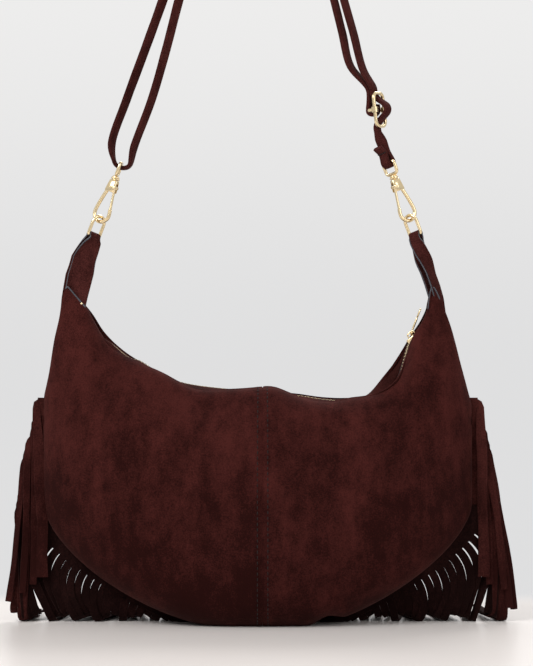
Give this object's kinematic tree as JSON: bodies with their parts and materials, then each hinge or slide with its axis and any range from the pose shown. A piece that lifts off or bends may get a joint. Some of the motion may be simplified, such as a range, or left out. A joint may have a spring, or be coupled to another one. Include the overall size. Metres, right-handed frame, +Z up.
{
  "type": "fringed suede shoulder bag",
  "caption": "Crescent suede shoulder bag with a long cut fringe round its seam, a curved zip top and a folded strap on snap hooks and rings.",
  "frame": {"origin": "on the surface the bag stands on, under the middle of its seam plane", "axes": "+X to the right seen from the front, +Y to the back, +Z up"},
  "size_m": [0.463, 0.2175, 0.684],
  "materials": {
    "suede": "napped suede, dark wine brown",
    "zip_tape": "woven twill tape",
    "gold": "polished pale gold plate"
  },
  "bodies": {
    "bag": {"front_panel_left": "suede", "front_panel_right": "suede", "back_panel_left": "suede", "back_panel_right": "suede", "mouth_facing_front": "suede", "mouth_facing_back": "suede", "zip_tape_front": "zip_tape", "zip_tape_back": "zip_tape", "zip_teeth_front": "gold", "zip_teeth_back": "gold", "zip_stop_left": "gold", "zip_stop_right": "gold", "fringe_left_side": "suede", "fringe_left_corner": "suede", "fringe_bottom": "suede", "fringe_right_corner": "suede", "fringe_right_side": "suede", "tab_left": "suede", "tab_right": "suede", "hook_left_eye": "gold", "hook_right_eye": "gold", "strap": "suede", "buckle_frame": "gold", "buckle_crossbar": "gold"},
    "zip_slider": {"zip_slider": "gold"},
    "zip_pull": {"zip_pull": "gold"},
    "ring_left": {"ring_left": "gold"},
    "ring_right": {"ring_right": "gold"},
    "hook_left": {"hook_left_frame": "gold", "hook_left_rivet": "gold"},
    "hook_right": {"hook_right_frame": "gold", "hook_right_rivet": "gold"},
    "gate_left": {"hook_left_gate": "gold"},
    "gate_right": {"hook_right_gate": "gold"}
  },
  "joints": [
    {"name": "zip_run", "type": "hinge", "parent": "bag", "child": "zip_slider", "pos_m": [0, 0, 0.407], "axis": [0, 1, 0], "range_deg": [0, 83.5]},
    {"name": "zip_pull_hinge", "type": "hinge", "parent": "zip_slider", "child": "zip_pull", "pos_m": [0.13326, 0, 0.259], "axis": [0, 1, 0], "range_deg": [-145, 25]},
    {"name": "ring_left_hinge", "type": "hinge", "parent": "bag", "child": "ring_left", "pos_m": [-0.1523, 0, 0.3474], "axis": [0.6938, 0.6691, -0.2663], "range_deg": [-4, 4]},
    {"name": "hook_left_swivel", "type": "hinge", "parent": "bag", "child": "hook_left", "pos_m": [-0.13542, 0, 0.39137], "axis": [0.3584, 0, 0.9336], "range_deg": [-10, 10]},
    {"name": "hook_left_gate_hinge", "type": "hinge", "parent": "hook_left", "child": "gate_left", "pos_m": [-0.13292, -0.00136, 0.39041], "axis": [0.4238, 0.891, -0.1627], "range_deg": [0, 20], "stiffness_Nm_per_rad": 0.01, "springref_deg": -17.19},
    {"name": "ring_right_hinge", "type": "hinge", "parent": "bag", "child": "ring_right", "pos_m": [0.1378, 0, 0.3484], "axis": [0.6938, -0.6691, 0.2663], "range_deg": [-4, 4]},
    {"name": "hook_right_swivel", "type": "hinge", "parent": "bag", "child": "hook_right", "pos_m": [0.12092, 0, 0.39237], "axis": [-0.3584, 0, 0.9336], "range_deg": [-10, 10]},
    {"name": "hook_right_gate_hinge", "type": "hinge", "parent": "hook_right", "child": "gate_right", "pos_m": [0.11843, -0.00136, 0.39141], "axis": [-0.4238, 0.891, -0.1627], "range_deg": [-20, 0], "stiffness_Nm_per_rad": 0.01, "springref_deg": 17.19}
  ]
}
